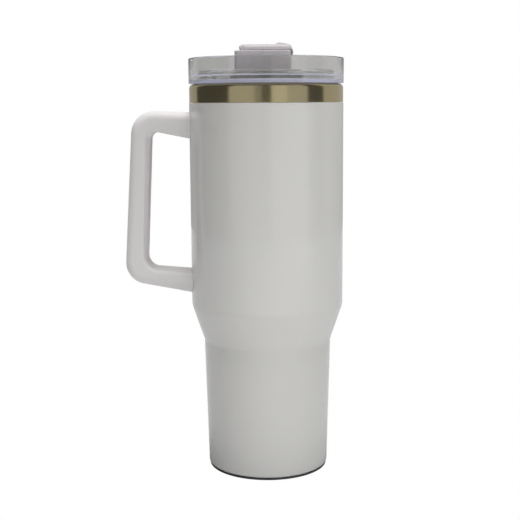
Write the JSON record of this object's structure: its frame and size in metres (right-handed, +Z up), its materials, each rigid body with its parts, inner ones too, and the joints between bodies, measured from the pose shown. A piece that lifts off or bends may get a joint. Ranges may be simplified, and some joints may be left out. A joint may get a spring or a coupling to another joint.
{
  "type": "insulated tumbler with handle and lid",
  "caption": "Double-wall steel tumbler with a narrowed foot, a moulded side handle and a clear press-in lid that has a rotating sip cover and a flip-cap straw port.",
  "frame": {"origin": "centre of the base pad's underside, on the tumbler's axis", "axes": "+Z up along the tumbler's axis, handle towards -X, drinking slot towards -Y"},
  "size_m": [0.1433, 0.1006, 0.2809],
  "materials": {
    "body_coating": "smooth semi-gloss off-white coating on steel",
    "polished_band": "mirror-polished bare steel with a warm champagne tint",
    "bare_steel": "electropolished stainless steel, satin",
    "foil": "thin bright foil",
    "handle_plastic": "moulded off-white plastic, satin gloss",
    "lid_clear": "clear polished copolyester with a faint lilac cast",
    "frosted_silicone": "translucent frosted silicone",
    "dark_silicone": "matte dark grey silicone",
    "knob_plastic": "moulded light grey plastic, satin",
    "base_rubber": "matte dark grey silicone foot"
  },
  "bodies": {
    "tumbler": {"outer_shell": "body_coating", "neck_band": "polished_band", "inner_liner": "bare_steel", "heat_foil": "foil", "shell_bottom": "bare_steel", "vacuum_seal_bead": "bare_steel", "vacuum_getter": "bare_steel", "base_cap": "bare_steel", "base_pad": "base_rubber", "handle_shell": "handle_plastic", "handle_cover_strip": "handle_plastic", "upper_handle_bracket": "bare_steel", "upper_handle_screw": "bare_steel", "lower_handle_bracket": "bare_steel", "lower_handle_screw": "bare_steel"},
    "lid": {"lid_body": "lid_clear", "lid_gasket": "frosted_silicone"},
    "cover": {"rotating_cover": "lid_clear", "sip_seal": "dark_silicone", "pivot_sleeve": "lid_clear", "pivot_seal": "dark_silicone", "pivot_clip": "bare_steel", "straw_port_block": "knob_plastic", "hinge_pin": "bare_steel"},
    "cap": {"flip_cap": "knob_plastic", "cap_plug": "frosted_silicone"}
  },
  "joints": [
    {"name": "lid_lift", "type": "slide", "parent": "tumbler", "child": "lid", "axis": [0, 0, 1], "range_m": [0, 0.05]},
    {"name": "cover_turn", "type": "hinge", "parent": "lid", "child": "cover", "pos_m": [0, 0, 0.2584], "axis": [0, 0, 1], "range_deg": [0, 90]},
    {"name": "cap_flip", "type": "hinge", "parent": "cover", "child": "cap", "pos_m": [-0.0148, 0, 0.2772], "axis": [0, -1, 0], "range_deg": [0, 110]}
  ]
}
